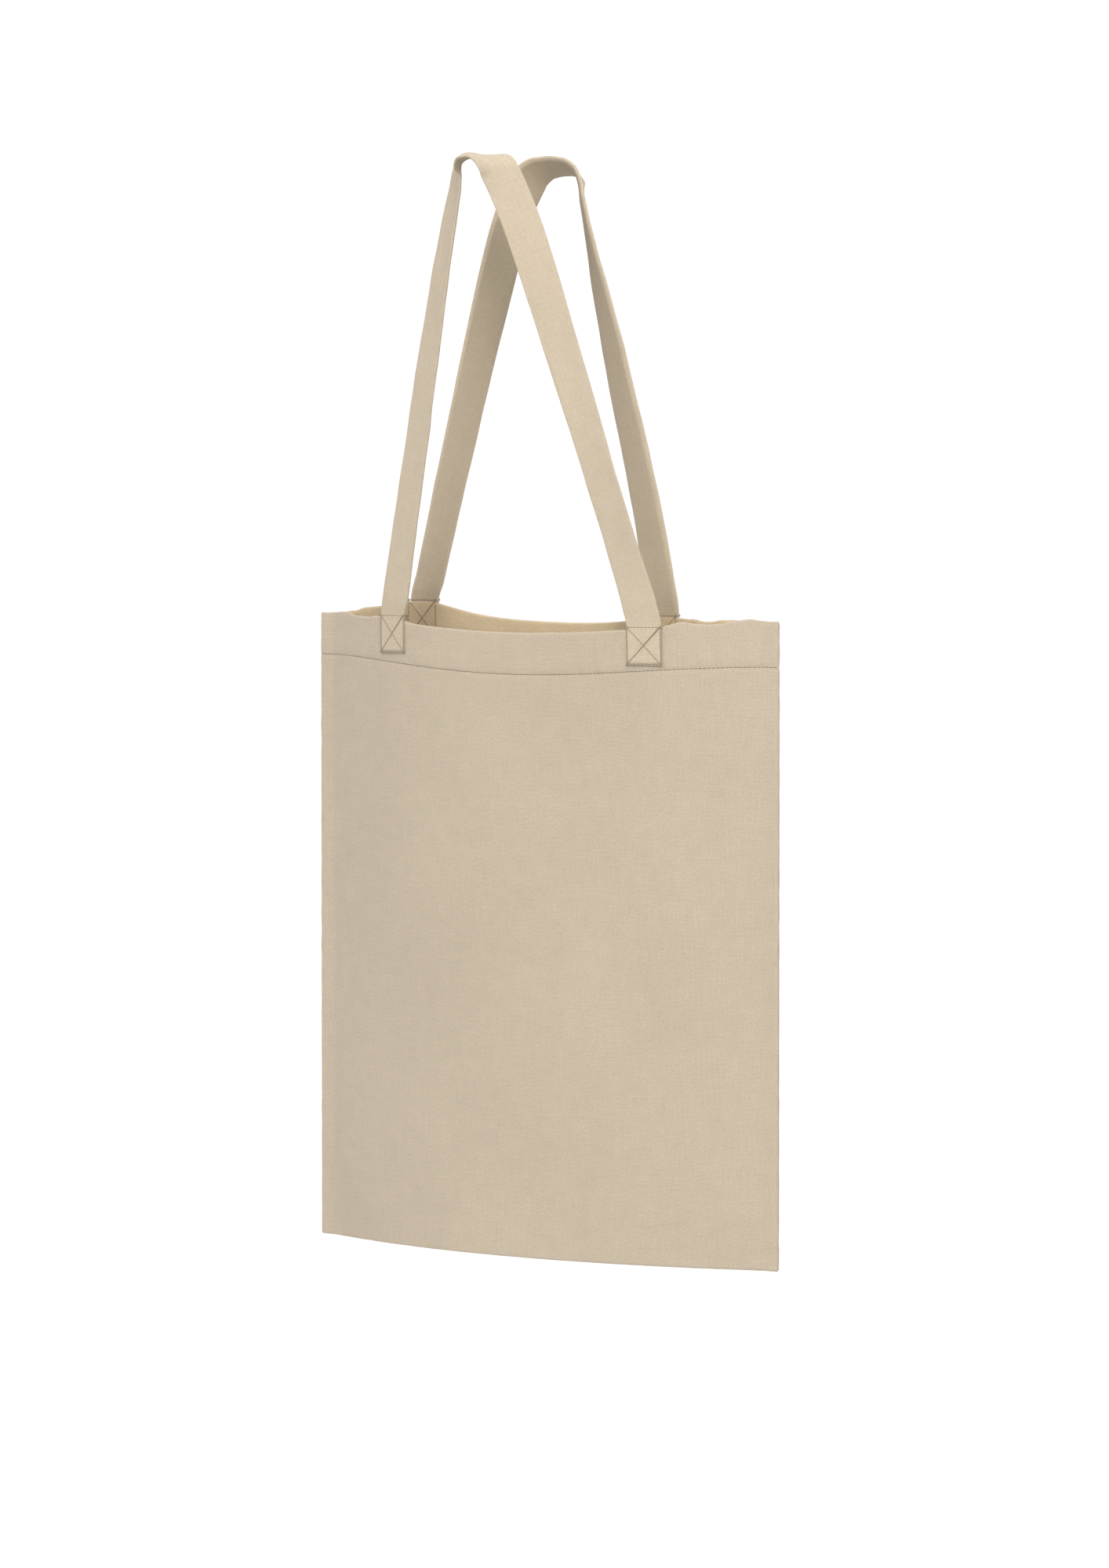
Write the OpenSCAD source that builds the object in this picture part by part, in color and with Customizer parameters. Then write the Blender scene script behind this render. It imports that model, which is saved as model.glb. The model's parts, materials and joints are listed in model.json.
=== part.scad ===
// Flat canvas tote bag with two long handles, hanging from its handles.
// Origin: on the line where the undersides of both handle tops rest, in the plane of the side seams.
// +X runs across the bag, the front faces -Y, +Z is up. Millimetres.

/* [Body] */
// Finished width of the bag, side seam to side seam
body_w = 380; // [280:5:480]
// Finished height of the bag, bottom edge to rim at the side seams
body_h = 420; // [300:5:520]
// Thickness of one layer of canvas
cloth_t = 0.8; // [0.5:0.1:1.1]
// How far the front panel bows out in the middle
front_bow = 35; // [20:1:45]
// How far the back panel follows the front one at the rim
back_bow_top = 8; // [0:1:12]
// Dip of the front rim in the middle
front_rim_dip = 9; // [0:1:14]
// Lift of the back rim where each handle pulls on it
back_rim_lift = 6; // [0:1:10]

/* [Hem and seams] */
// Depth of the double-folded hem at the rim
hem_w = 28; // [22:1:40]
// Width of the seam allowance inside the side and bottom seams
seam_allowance = 10; // [6:1:14]
// Room for the seam thread between the two turned-in layers
seam_gap = 0.6; // [0.5:0.1:1]
// Width of a line of thread
thread_w = 0.8; // [0.4:0.1:1.2]
// How far a line of thread stands out of the cloth
thread_t = 0.35; // [0.2:0.05:0.5]

/* [Handles] */
// Width of the handle strap
strap_w = 25; // [18:1:36]
// Thickness of the handle strap, four layers of canvas
strap_t = 2.2; // [1.6:0.1:3]
// Distance between the centres of the front handle's two feet
foot_spacing = 210; // [150:5:240]
// Distance between the centres of the back handle's two feet
back_foot_spacing = 198; // [150:2:240]
// Height of the handles' underside above the rim at the side seams
handle_rise = 302; // [240:2:380]
// Half the length of the flat top of each handle
top_half = 15; // [12:1:24]
// Radius of the bend between a leg and the top
top_bend_r = 12; // [10:1:15]
// How far the top of the front handle leans out from its feet
front_lean = 46; // [20:1:55]
// How the front handle's lean grows with height: 1 is straight, more keeps it for the top
front_lean_curve = 1; // [1:0.5:6]
// How far the top of the back handle leans out from its feet
back_lean = 17; // [0:1:25]
// How the back handle's lean grows with height
back_lean_curve = 5; // [1:0.5:6]
// Distance from the strap's sewn end down to the hem stitching, at the fold
hem_clear = 2.5; // [1.5:0.5:8]
// Distance from the strap's edge to the box stitch
box_inset = 1; // [0.6:0.1:3]

/* [Hidden] */

// Colours
canvas_colour = [0.84, 0.78, 0.68];
strap_colour = [0.87, 0.81, 0.71];
thread_colour = [0.66, 0.60, 0.51];

// Clearances
touch = 0.05;          // thread lying on cloth
sewn_gap = 0.25;       // sewn strap end on the panel
hinge_gap = 0.3;       // sewn strap end below the fold, and loop above it
step = 0.2;            // half the run of a step in thickness
sag_room = 0.1;        // a straight run of thread cuts the corner of the panel's grid by up to this much
fold_lift = 0.5;       // fold of a handle above the rim
seam_inset = 1.5;      // side seam thread in from the bag's edge
hem_line_end = 1;      // hem thread short of the side seam
seam_end = 3;          // seam thread short of the bag's corner
overlock_end = 2;      // overlocking short of the bag's corner
bottom_seam_rise = 1;  // bottom seam thread above the bottom edge
bottom_seam_end = 1;   // bottom seam thread short of the panel's bow
bottom_overlock_end = 6;

// Runs over which the cloth changes
hem_taper = 16;        // the hem thins towards a side seam
rim_lift_run = 32;     // the back rim rises to a handle's foot
rim_side_run = 20;     // the back rim comes down to a side seam
rim_sag = 2;           // the back rim sags in the middle
rim_sag_run = 60;
bow_rest = 15;         // both panels bow alike this far above the bottom seam

// Heights
rim_z = -handle_rise;
bottom_z = rim_z - body_h;

// Half widths
half_w = body_w / 2;
foot_x = foot_spacing / 2;
back_foot_x = back_foot_spacing / 2;
bow_half = half_w - seam_allowance - thread_w - 2 * step;
edge_half_t = 2 * cloth_t + seam_gap / 2;

// The back panel has the whole bow of the front one from here down
back_bow_full_depth = body_h - seam_allowance - bow_rest;

// Grid sizes
columns = 22;
front_rows = 2;
back_rows = 9;
leg_steps = 24;
bend_steps = 6;
top_steps = 2;

// ---------- curves of the cloth ----------

function smooth(f) = let (g = max(0, min(1, f))) g * g * (3 - 2 * g);
function mix(a, b, f) = a + (b - a) * f;

// Depth of a circular arc with its ends at +-bow_half
function arc_r(bow) = (bow_half * bow_half + bow * bow) / (2 * max(bow, 0.001));
function arc_depth(x, bow) =
    abs(x) >= bow_half || bow <= 0 ? 0
    : sqrt(arc_r(bow) * arc_r(bow) - x * x) - (arc_r(bow) - bow);

function arc_slope(x, bow) = bow <= 0 ? 0 : asin(x / arc_r(bow));

// How far the back panel bows at a depth below the rim
function back_bow(depth) = mix(back_bow_top, front_bow, smooth(depth / back_bow_full_depth));

// Rims: 0 at the side seams
function front_rim(x) = rim_z - front_rim_dip * pow(max(0, 1 - pow(x / half_w, 2)), 2.5);
function back_rim(x) =
    rim_z
    + back_rim_lift * exp(-pow((abs(x) - back_foot_x) / rim_lift_run, 2)) * min(1, (half_w - abs(x)) / rim_side_run)
    - rim_sag * exp(-pow(x / rim_sag_run, 2));

// Outer faces of the two panels
function front_face(x) = -edge_half_t - arc_depth(x, front_bow);
function back_face(x, z) = edge_half_t - arc_depth(x, back_bow(rim_z - z));

// Layers of cloth: turned-in seam allowances, double-folded hem, or the single layer between them.
// The hem is pressed thinner where it runs into the side seams.
function layers(x, z, rim) =
    abs(x) > half_w - seam_allowance ? 2
    : z > rim - hem_w ? mix(2, 3, smooth((bow_half - abs(x)) / hem_taper))
    : z < bottom_z + seam_allowance ? 2 : 1;

// ---------- solids from points ----------

function flat(lists) = [for (l = lists) each l];

// A closed sheet between an outer and an inner grid of points, grid[column][row]
module sheet_solid(outer, inner, flip = false) {
    nc = len(outer);
    nr = len(outer[0]);
    n = nc * nr;
    function at(i, j) = i * nr + j;
    function quad(a, b, c, d) = flip ? [[a, c, b], [a, d, c]] : [[a, b, c], [a, c, d]];
    faces = flat(concat(
        [for (i = [0 : nc - 2], j = [0 : nr - 2])
            quad(at(i, j), at(i, j + 1), at(i + 1, j + 1), at(i + 1, j))],
        [for (i = [0 : nc - 2], j = [0 : nr - 2])
            quad(n + at(i, j), n + at(i + 1, j), n + at(i + 1, j + 1), n + at(i, j + 1))],
        [for (i = [0 : nc - 2])
            quad(at(i, 0), at(i + 1, 0), n + at(i + 1, 0), n + at(i, 0))],
        [for (i = [0 : nc - 2])
            quad(at(i + 1, nr - 1), at(i, nr - 1), n + at(i, nr - 1), n + at(i + 1, nr - 1))],
        [for (j = [0 : nr - 2])
            quad(at(0, j + 1), at(0, j), n + at(0, j), n + at(0, j + 1))],
        [for (j = [0 : nr - 2])
            quad(at(nc - 1, j), at(nc - 1, j + 1), n + at(nc - 1, j + 1), n + at(nc - 1, j))]
    ));
    polyhedron(points = concat(flat(outer), flat(inner)), faces = faces);
}

// Column places: close pairs where the turned-in seam allowance ends
function column_xs() = concat(
    [-half_w, -half_w + seam_allowance - step, -half_w + seam_allowance + step],
    [for (i = [0 : columns]) mix(-bow_half, bow_half, i / columns)],
    [half_w - seam_allowance - step, half_w - seam_allowance + step, half_w]
);

// Row heights at one column: close pairs at the bottom allowance and under the hem
function row_zs(rim, rows) = concat(
    [bottom_z, bottom_z + seam_allowance - step],
    [for (j = [0 : rows]) mix(bottom_z + seam_allowance + step, rim - hem_w - step, j / rows)],
    [rim - hem_w + step, rim]
);

module front_cloth() {
    outer = [for (x = column_xs()) [for (z = row_zs(front_rim(x), front_rows))
        [x, front_face(x), z]]];
    inner = [for (x = column_xs()) [for (z = row_zs(front_rim(x), front_rows))
        [x, front_face(x) + cloth_t * layers(x, z, front_rim(x)), z]]];
    sheet_solid(outer, inner);
}

module back_cloth() {
    outer = [for (x = column_xs()) [for (z = row_zs(back_rim(x), back_rows))
        [x, back_face(x, z), z]]];
    inner = [for (x = column_xs()) [for (z = row_zs(back_rim(x), back_rows))
        [x, back_face(x, z) - cloth_t * layers(x, z, back_rim(x)), z]]];
    sheet_solid(outer, inner, flip = true);
}

// A line of thread along the outside of a panel, hem_w below its rim
module hem_line(front) {
    end = half_w - hem_line_end;
    xs = [for (i = [0 : 2 * columns]) mix(-end, end, i / (2 * columns))];
    function rim(x) = front ? front_rim(x) : back_rim(x);
    function face(x, z) = front ? front_face(x) : back_face(x, z);
    function line(x, out) = [for (side = [-0.5, 0.5])
        let (z = rim(x) - hem_w + side * thread_w)
        [x, face(x, z) + (front ? -out : out), z]];
    sheet_solid([for (x = xs) line(x, touch + sag_room + thread_t)],
        [for (x = xs) line(x, touch + sag_room)], flip = !front);
}

// ---------- handles ----------

front_slope = arc_slope(foot_x, front_bow);
back_slope = arc_slope(back_foot_x, back_bow_top);

// Heights of the folds, just over the rims
front_fold_z = front_rim(foot_x) + fold_lift;
back_fold_z = back_rim(back_foot_x) + fold_lift;

// Length of strap sewn down below the fold
sewn_len = hem_w - hem_clear;

// Middle of the strap's thickness at its feet
front_foot_y = front_face(foot_x) - sewn_gap - strap_t / 2;
back_foot_y = back_face(back_foot_x, rim_z) + sewn_gap + strap_t / 2;

function unit(v) = v / norm(v);

// Left half of a loop from its foot to the middle of its top: [x, z, tangent x, tangent z, run]
leg_top = strap_t / 2;
function corner_angle(start_x, foot_z) = atan2(start_x - top_half, leg_top - foot_z);
function bend_cut(start_x, foot_z) = top_bend_r * tan((90 - corner_angle(start_x, foot_z)) / 2);
function leg_len(start_x, foot_z) = norm([start_x - top_half, leg_top - foot_z]) - bend_cut(start_x, foot_z);

function half_path(start_x, foot_z) =
    let (
        a = corner_angle(start_x, foot_z),
        len = leg_len(start_x, foot_z),
        cut = bend_cut(start_x, foot_z),
        bend_x = -start_x + len * sin(a),
        bend_z = foot_z + len * cos(a)
    )
    concat(
        [for (i = [0 : leg_steps - 1]) let (s = len * i / leg_steps)
            [-start_x + s * sin(a), foot_z + s * cos(a), sin(a), cos(a), s]],
        [for (i = [0 : bend_steps]) let (b = mix(a, 90, i / bend_steps))
            [bend_x + top_bend_r * (cos(a) - cos(b)), bend_z + top_bend_r * (sin(b) - sin(a)),
             sin(b), cos(b), len]],
        [for (i = [1 : top_steps]) let (x = mix(-top_half + cut, 0, i / top_steps))
            [x, leg_top, 1, 0, len]]
    );

// Turn of the strap's width from along the panel at its foot to front-to-back at the top
leg_twist = 42;
twist_from = 0.4;
square_run = 22;       // run over which the strap leaves its square foot
function twist(p, start_x, foot_z, foot_twist) =
    let (
        leg_part = smooth((p[4] / leg_len(start_x, foot_z) - twist_from) / (1 - twist_from)),
        top_part = (1 - p[3] / cos(corner_angle(start_x, foot_z)))
    )
    mix(mix(foot_twist, leg_twist, leg_part), 90, top_part);

// One ring of the strap: four corners round its middle
function ring(p, start_x, foot_z, foot_y, lean, curve, side, foot_twist) =
    let (
        rise = (p[1] - foot_z) / (leg_top - foot_z),
        middle = [p[0], foot_y + side * lean * pow(max(0, rise), curve), p[1]],
        slope = side * lean * curve * pow(max(0, rise), curve - 1) / (leg_top - foot_z),
        tangent = unit([p[2], slope * p[3], p[3]]),
        along = unit(mix([0, 0, 1], tangent, smooth(p[4] / square_run))),
        turn = twist(p, start_x, foot_z, foot_twist),
        across0 = [cos(turn), side * sin(turn), 0],
        across = unit(across0 - (across0 * along) * along),
        out = cross(along, across)
    )
    [for (c = [[-1, -1], [1, -1], [1, 1], [-1, 1]])
        middle + c[0] * strap_w / 2 * across + c[1] * strap_t / 2 * out];

function mirrored(r) = [for (p = r) [-p[0], p[1], p[2]]];

module strap_loop(start_x, foot_z, foot_y, lean, curve, side, foot_twist) {
    low = foot_z + hinge_gap;
    half = [for (p = half_path(start_x, low)) ring(p, start_x, low, foot_y, lean, curve, side, foot_twist)];
    n = len(half);
    rings = concat(half, [for (i = [n - 2 : -1 : 0]) mirrored(half[i])]);
    last = len(rings) - 1;
    faces = concat(
        [for (i = [0 : last - 1], k = [0 : 3]) let (m = (k + 1) % 4)
            each [[4 * i + k, 4 * i + 4 + k, 4 * i + 4 + m], [4 * i + k, 4 * i + 4 + m, 4 * i + m]]],
        [[0, 1, 2], [0, 2, 3]],
        [[4 * last, 4 * last + 2, 4 * last + 1], [4 * last, 4 * last + 3, 4 * last + 2]]
    );
    polyhedron(points = flat(rings), faces = faces);
}

// Places a flat piece, drawn across X and up Z with its back on the XZ plane, on a sewn end's place
module on_front(x) {
    translate([x, front_face(x) - sewn_gap, front_fold_z - hinge_gap])
        rotate([0, 0, sign(x) * front_slope])
            children();
}
module on_back(x) {
    translate([x, back_face(x, rim_z) + sewn_gap, back_fold_z - hinge_gap])
        rotate([0, 0, 180 + sign(x) * back_slope])
            children();
}

module sewn_end() {
    translate([-strap_w / 2, -strap_t, -sewn_len])
        cube([strap_w, strap_t, sewn_len]);
}

// Square of thread with both diagonals, on the face of a sewn end
module box_stitch() {
    w = strap_w - 2 * box_inset;
    h = sewn_len - 2 * box_inset;
    diagonal = norm([w, h]) - 2 * thread_w;
    translate([0, -strap_t - touch, -sewn_len / 2])
        rotate([90, 0, 0])
            linear_extrude(thread_t)
                union() {
                    difference() {
                        square([w, h], center = true);
                        square([w - 2 * thread_w, h - 2 * thread_w], center = true);
                    }
                    for (s = [-1, 1])
                        rotate(s * atan2(h, w))
                            square([diagonal, thread_w], center = true);
                }
}

// ---------- seam threads ----------

// Side seam thread, inside the edge between the two turned-in layers
module side_seam(side) {
    translate([side * (half_w - seam_inset) - thread_w / 2, -seam_gap / 2 + touch, bottom_z + seam_end])
        cube([thread_w, seam_gap - 2 * touch, body_h - 2 * seam_end]);
}

// Overlocking along the raw edges of a side seam
module side_overlock(side) {
    half_t = cloth_t + seam_gap / 2 - touch;
    translate([side * (half_w - seam_allowance - step - touch - thread_w / 2) - thread_w / 2,
        -half_t, bottom_z + seam_allowance + overlock_end])
        cube([thread_w, 2 * half_t, body_h - seam_allowance - hem_w - front_rim_dip - 2 * overlock_end]);
}

// A run of thread along the bottom seam, between two heights and two faces of the bowed middle
module bottom_run(end, z0, z1, half_t) {
    xs = [for (i = [0 : columns]) mix(-end, end, i / columns)];
    function line(x, y) = [for (z = [z0, z1]) [x, y - arc_depth(x, front_bow), z]];
    sheet_solid([for (x = xs) line(x, -half_t)], [for (x = xs) line(x, half_t)]);
}

// ---------- nodes ----------

module front_panel() { color(canvas_colour) front_cloth(); }
module back_panel() { color(canvas_colour) back_cloth(); }

module front_hem_thread() { color(thread_colour) hem_line(true); }
module back_hem_thread() { color(thread_colour) hem_line(false); }

module left_seam_thread() { color(thread_colour) side_seam(-1); }
module right_seam_thread() { color(thread_colour) side_seam(1); }
module bottom_seam_thread() {
    low = bottom_z + bottom_seam_rise;
    color(thread_colour)
        bottom_run(bow_half - bottom_seam_end, low, low + thread_w, seam_gap / 2 - 2 * touch);
}

module left_overlock_thread() { color(thread_colour) side_overlock(-1); }
module right_overlock_thread() { color(thread_colour) side_overlock(1); }
module bottom_overlock_thread() {
    low = bottom_z + seam_allowance + 2 * step;
    color(thread_colour)
        bottom_run(bow_half - bottom_overlock_end, low, low + thread_w, cloth_t + seam_gap / 2 - 2 * touch);
}

module front_handle_loop() {
    color(strap_colour) strap_loop(foot_x, front_fold_z, front_foot_y, front_lean, front_lean_curve, -1, front_slope);
}
module front_handle_left_end() { color(strap_colour) on_front(-foot_x) sewn_end(); }
module front_handle_right_end() { color(strap_colour) on_front(foot_x) sewn_end(); }

module back_handle_loop() {
    color(strap_colour) strap_loop(back_foot_x, back_fold_z, back_foot_y, back_lean, back_lean_curve, 1, -back_slope);
}
module back_handle_left_end() { color(strap_colour) on_back(-back_foot_x) sewn_end(); }
module back_handle_right_end() { color(strap_colour) on_back(back_foot_x) sewn_end(); }

module front_left_box_thread() { color(thread_colour) on_front(-foot_x) box_stitch(); }
module front_right_box_thread() { color(thread_colour) on_front(foot_x) box_stitch(); }
module back_left_box_thread() { color(thread_colour) on_back(-back_foot_x) box_stitch(); }
module back_right_box_thread() { color(thread_colour) on_back(back_foot_x) box_stitch(); }

front_panel();
back_panel();
front_hem_thread();
back_hem_thread();
left_seam_thread();
right_seam_thread();
bottom_seam_thread();
left_overlock_thread();
right_overlock_thread();
bottom_overlock_thread();
front_handle_loop();
front_handle_left_end();
front_handle_right_end();
back_handle_loop();
back_handle_left_end();
back_handle_right_end();
front_left_box_thread();
front_right_box_thread();
back_left_box_thread();
back_right_box_thread();
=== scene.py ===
"""A flat canvas tote bag with two long handles, hanging with its handles up.

Metres, +X across the bag, the front faces -Y, +Z up. The origin is where a hook would carry the handles.
"""

import json
import math

import bmesh
import bpy
import numpy as np
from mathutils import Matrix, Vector


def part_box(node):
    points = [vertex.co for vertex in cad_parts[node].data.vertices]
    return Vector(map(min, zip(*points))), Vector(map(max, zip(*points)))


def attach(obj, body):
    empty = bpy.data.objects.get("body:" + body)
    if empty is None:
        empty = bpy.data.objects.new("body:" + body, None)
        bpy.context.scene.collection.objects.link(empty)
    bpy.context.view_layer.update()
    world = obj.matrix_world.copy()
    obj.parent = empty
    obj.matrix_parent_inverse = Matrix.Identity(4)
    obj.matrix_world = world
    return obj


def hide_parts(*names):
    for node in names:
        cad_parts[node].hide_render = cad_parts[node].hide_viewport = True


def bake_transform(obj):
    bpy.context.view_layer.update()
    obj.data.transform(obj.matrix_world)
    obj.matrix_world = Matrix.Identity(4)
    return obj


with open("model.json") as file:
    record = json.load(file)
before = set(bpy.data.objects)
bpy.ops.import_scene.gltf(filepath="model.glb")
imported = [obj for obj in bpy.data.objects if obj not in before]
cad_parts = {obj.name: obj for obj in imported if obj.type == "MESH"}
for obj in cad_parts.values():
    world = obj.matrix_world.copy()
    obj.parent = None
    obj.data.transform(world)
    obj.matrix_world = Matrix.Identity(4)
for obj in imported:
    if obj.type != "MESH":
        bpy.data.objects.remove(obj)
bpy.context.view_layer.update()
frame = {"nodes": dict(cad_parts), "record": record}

MM = 0.001

# ---------------------------------------------------------------- sizes

panel_low, panel_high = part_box("front_panel")
foot_low, foot_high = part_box("front_handle_right_end")
back_foot_low, back_foot_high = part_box("back_handle_right_end")
joints = {j["name"]: j for j in frame["record"]["behaviour"]["joints"]}

HALF_W = panel_high.x
RIM_Z = panel_high.z
BOTTOM_Z = panel_low.z
FOOT_X = (foot_low.x + foot_high.x) / 2
BACK_FOOT_X = (back_foot_low.x + back_foot_high.x) / 2
FRONT_FOLD_Z = joints["front_handle_fold"]["pos_m"][2]
BACK_FOLD_Z = joints["back_handle_fold"]["pos_m"][2]
SEWN_LEN = foot_high.z - foot_low.z
SEWN_SHORT = 1.6 * MM                        # cloth drawn up by the stitching

CLOTH_T = 0.8 * MM
EDGE_HALF_T = 1.9 * MM                       # half the bag's thickness at its side seams
FRONT_BOW = -panel_low.y - EDGE_HALF_T
RIM_PULL = 5 * MM                            # more bow at the front rim than below
BACK_BOW_TOP = 8 * MM
SEAM_ALLOWANCE = 10 * MM
HEM_W = 28 * MM
HEM_TURN = 9 * MM                            # raw edge turned in under the hem
TURN_R = EDGE_HALF_T - CLOTH_T / 2           # bend of the cloth round a seamed edge

STRAP_W = 25 * MM
STRAP_T = 2.6 * MM
SEWN_T = 1.1 * MM                            # the strap is pressed thinner where it is sewn down
UNDER_STRAP = 0.10 * MM                      # between a sewn end and its panel

# ---------------------------------------------------------------- small maths


def smooth(f):
    f = np.clip(f, 0, 1)
    return f * f * (3 - 2 * f)


def mix(a, b, f):
    return a + (b - a) * f


def bell(x, middle, spread):
    return np.exp(-(((x - middle) / spread) ** 2))


def unit(v):
    return v / np.maximum(np.linalg.norm(v, axis=-1, keepdims=True), 1e-12)


WAVES_PER_LENGTH = 4


class Ripple:
    """Sum of a few seeded waves: a smooth random surface about -1 to 1 over two coordinates."""

    def __init__(self, seed, wavelengths, stretch=(1, 1)):
        rng = np.random.default_rng(seed)
        self.waves = []
        for length in wavelengths:
            for _ in range(WAVES_PER_LENGTH):
                turn, phase = rng.uniform(0, 2 * math.pi, 2)
                pull = rng.uniform(0.75, 1.3)
                self.waves.append((
                    2 * math.pi / length * pull * math.cos(turn) / stretch[0],
                    2 * math.pi / length * pull * math.sin(turn) / stretch[1],
                    phase,
                ))

    def __call__(self, a, b):
        total = sum(np.sin(ka * a + kb * b + phase) for ka, kb, phase in self.waves)
        return total / math.sqrt(len(self.waves) * 2)


# ---------------------------------------------------------------- shape of the cloth

BOW_HALF = HALF_W - SEAM_ALLOWANCE - 1.2 * MM
BOW_EASE = 1.2 * MM                          # how softly a panel's bow runs out into its flat edge
BOTH_BOWS_ALIKE = 15 * MM                    # height above the bottom seam where the panels come together
RIM_PULL_RUN = 130 * MM                      # the front rim's extra bow is gone this far down


def arc_depth(x, bow):
    """A bowed panel's depth across the bag, easing flat where the seam allowance stiffens its edge."""
    r = (BOW_HALF ** 2 + bow ** 2) / (2 * np.maximum(bow, 1e-6))
    raw = np.sqrt(r ** 2 - np.minimum(np.abs(x), HALF_W) ** 2) - (r - bow)
    return (raw + np.sqrt(raw ** 2 + BOW_EASE ** 2)) / 2


def back_bow(z):
    depth = (RIM_Z - z) / (RIM_Z - BOTTOM_Z - SEAM_ALLOWANCE - BOTH_BOWS_ALIKE)
    return mix(BACK_BOW_TOP, FRONT_BOW, smooth(depth))


FRONT_DIP = 8.8 * MM
FRONT_DIP_X = 8 * MM                         # its lowest point, right of the middle
FRONT_DIP_HALF = 0.94 * HALF_W

# Rises and dips of a rim, each as height, place and spread across the bag.
BACK_SLOW = (
    (-2.6 * MM, 28 * MM, 62 * MM),
    (8.5 * MM, -BACK_FOOT_X - 4 * MM, 30 * MM),
    (3.8 * MM, -142 * MM, 16 * MM),
    (2.8 * MM, -72 * MM, 32 * MM),
    (3.0 * MM, BACK_FOOT_X, 24 * MM),
)
FRONT_SHORT = (
    (1.7 * MM, -168 * MM, 12 * MM),
    (3.2 * MM, 127.5 * MM, 7 * MM),
    (1.8 * MM, 169 * MM, 13 * MM),
    (3.4 * MM, -110 * MM, 15 * MM),
)
BACK_SHORT = (
    (1.4 * MM, -166 * MM, 14 * MM),
    (1.2 * MM, 163 * MM, 14 * MM),
)


def bumps(x, table):
    return sum(height * bell(x, place, spread) for height, place, spread in table)


def rim_sag(x, front):
    """The slow dip of a rim between its side seams."""
    if front:
        return -FRONT_DIP * np.maximum(0, 1 - ((x - FRONT_DIP_X) / FRONT_DIP_HALF) ** 2) ** 1.9
    return bumps(x, BACK_SLOW)


rim_ripple = Ripple(131, (0.021, 0.012))
RAGGED = 0.55 * MM                           # the smallest waves, beyond the handles' feet only
RAGGED_FROM = 108 * MM
HEM_CORNER_DROP = 1.6 * MM                   # the hem's line sinks towards the right side seam


def rim_waves(x, front):
    """Short waves of the rim where the cloth is loose near its corners."""
    return bumps(x, FRONT_SHORT if front else BACK_SHORT)


def rim_z(x, front):
    beyond_feet = smooth((np.abs(x) - RAGGED_FROM) / 0.02)
    ragged = RAGGED * rim_ripple(x, x * 0 + (0.0 if front else 0.5))
    return RIM_Z + rim_sag(x, front) + rim_waves(x, front) + ragged * beyond_feet


def hem_z(x, front):
    """Height of the hem's line of stitches."""
    share = 1.0 if front else 0.8
    corner = HEM_CORNER_DROP * bell(x, HALF_W, 60 * MM)
    return RIM_Z + share * rim_sag(x, front) - HEM_W + 0.6 * MM - corner


broad = Ripple(11, (0.31, 0.19))
folds = Ripple(23, (0.10, 0.065), stretch=(1, 2.6))
fine = Ripple(37, (0.030, 0.021))
hem_puckers = Ripple(41, (0.0125, 0.0085), stretch=(1, 6))
edge_puckers = Ripple(53, (0.019, 0.012), stretch=(6, 1))
bottom_puckers = Ripple(61, (0.016, 0.011), stretch=(1, 6))

# heights of the cloth's unevenness
SLACK = 1.5 * MM
SLACK_FOLDS = 0.55 * MM
FINE_WAVES = 0.10 * MM
HEM_PUCKER = 0.26 * MM
EDGE_PUCKER = 0.20 * MM
BOTTOM_PUCKER = 0.30 * MM
STITCH_DIP = 0.42 * MM
STITCH_SWELL = 0.22 * MM
PULL_LINES = 0.55 * MM


def relief(x, z, front):
    """How far the cloth stands out of its smooth shape: slack folds, and puckers along its stitched lines."""
    shift = 0.0 if front else 0.7
    side = np.minimum(1, (HALF_W - np.abs(x)) / 0.035)
    low = np.minimum(1, (z - BOTTOM_Z) / 0.03)
    free = np.clip(side, 0, 1) * np.clip(low, 0, 1)
    hem = hem_z(x, front)
    below_hem = smooth((hem - z) / 0.05)
    w = SLACK * broad(x + shift, z) * free
    w = w + SLACK_FOLDS * folds(x + shift, z) * free * (0.35 + 0.65 * below_hem)
    w = w + FINE_WAVES * fine(x + shift, z)
    w = w + HEM_PUCKER * hem_puckers(x + shift, z) * np.exp(-np.abs(z - hem) / 0.008)
    w = w + EDGE_PUCKER * edge_puckers(x, z + shift) * np.exp(-(HALF_W - np.abs(x)) / 0.011)
    w = w + BOTTOM_PUCKER * bottom_puckers(x + shift, z) * np.exp(-(z - BOTTOM_Z) / 0.010)
    # the stitches draw the cloth in, and the cloth swells a little either side of them
    w = w - STITCH_DIP * bell(z, hem, 1.3 * MM)
    w = w + STITCH_SWELL * bell(z, hem + 6 * MM, 4.5 * MM)
    # pull lines fan down from the feet of the handle
    foot = FOOT_X if front else BACK_FOOT_X
    for sx in (-1, 1):
        dx, dz = x - sx * foot, hem - 1 * MM - z
        spread = 13 * MM + 0.30 * np.maximum(dz, 0)
        fan = np.cos(dx / spread * 2.6) * np.exp(-((dx / spread) ** 2))
        w = w + PULL_LINES * fan * smooth(dz / 0.02) * np.exp(-np.maximum(dz, 0) / 0.075)
    return w


def front_bow(z):
    """The front panel bows a little more at its rim, where its handle draws it out."""
    return FRONT_BOW + RIM_PULL * smooth((z - RIM_Z) / RIM_PULL_RUN + 1)


def face_y(x, z, front):
    """Middle of the outer layer of cloth."""
    if front:
        return -TURN_R - arc_depth(x, front_bow(z)) - relief(x, z, True)
    return TURN_R - arc_depth(x, back_bow(z)) + relief(x, z, False)


# ---------------------------------------------------------------- mesh makers


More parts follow.
